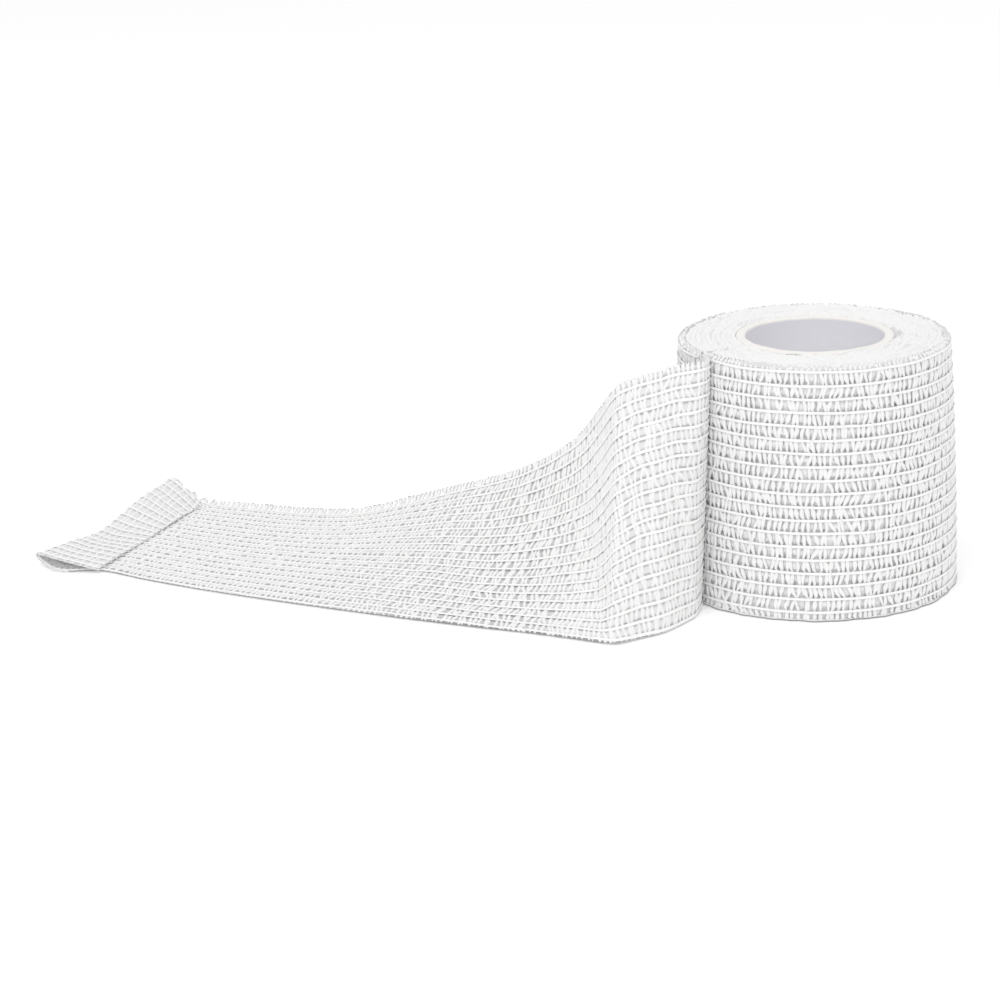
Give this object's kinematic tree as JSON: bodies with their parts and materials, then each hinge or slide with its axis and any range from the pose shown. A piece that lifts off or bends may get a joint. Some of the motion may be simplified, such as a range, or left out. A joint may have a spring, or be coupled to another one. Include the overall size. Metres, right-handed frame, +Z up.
{
  "type": "cohesive bandage roll",
  "caption": "White elastic cohesive bandage wound on a short tube, standing on end, with its loose end peeled off, lying down and ending in a folded tab.",
  "frame": {"origin": "middle of the box round the whole roll, at the level of the surface it stands on", "axes": "+Z up along the tube; +X from the tab at the end of the bandage towards the roll; +Y away from the side that the picture shows"},
  "size_m": [0.1918, 0.087, 0.0501],
  "materials": {
    "cloth": "white elastic crepe, open ribbed weave with thin straight elastic threads",
    "core": "wound paper tube with a smooth lavender-grey lining and cream cut edges"
  },
  "bodies": {
    "root": {"core": "core", "wound_bandage": "cloth", "loose_end": "cloth"}
  },
  "joints": []
}
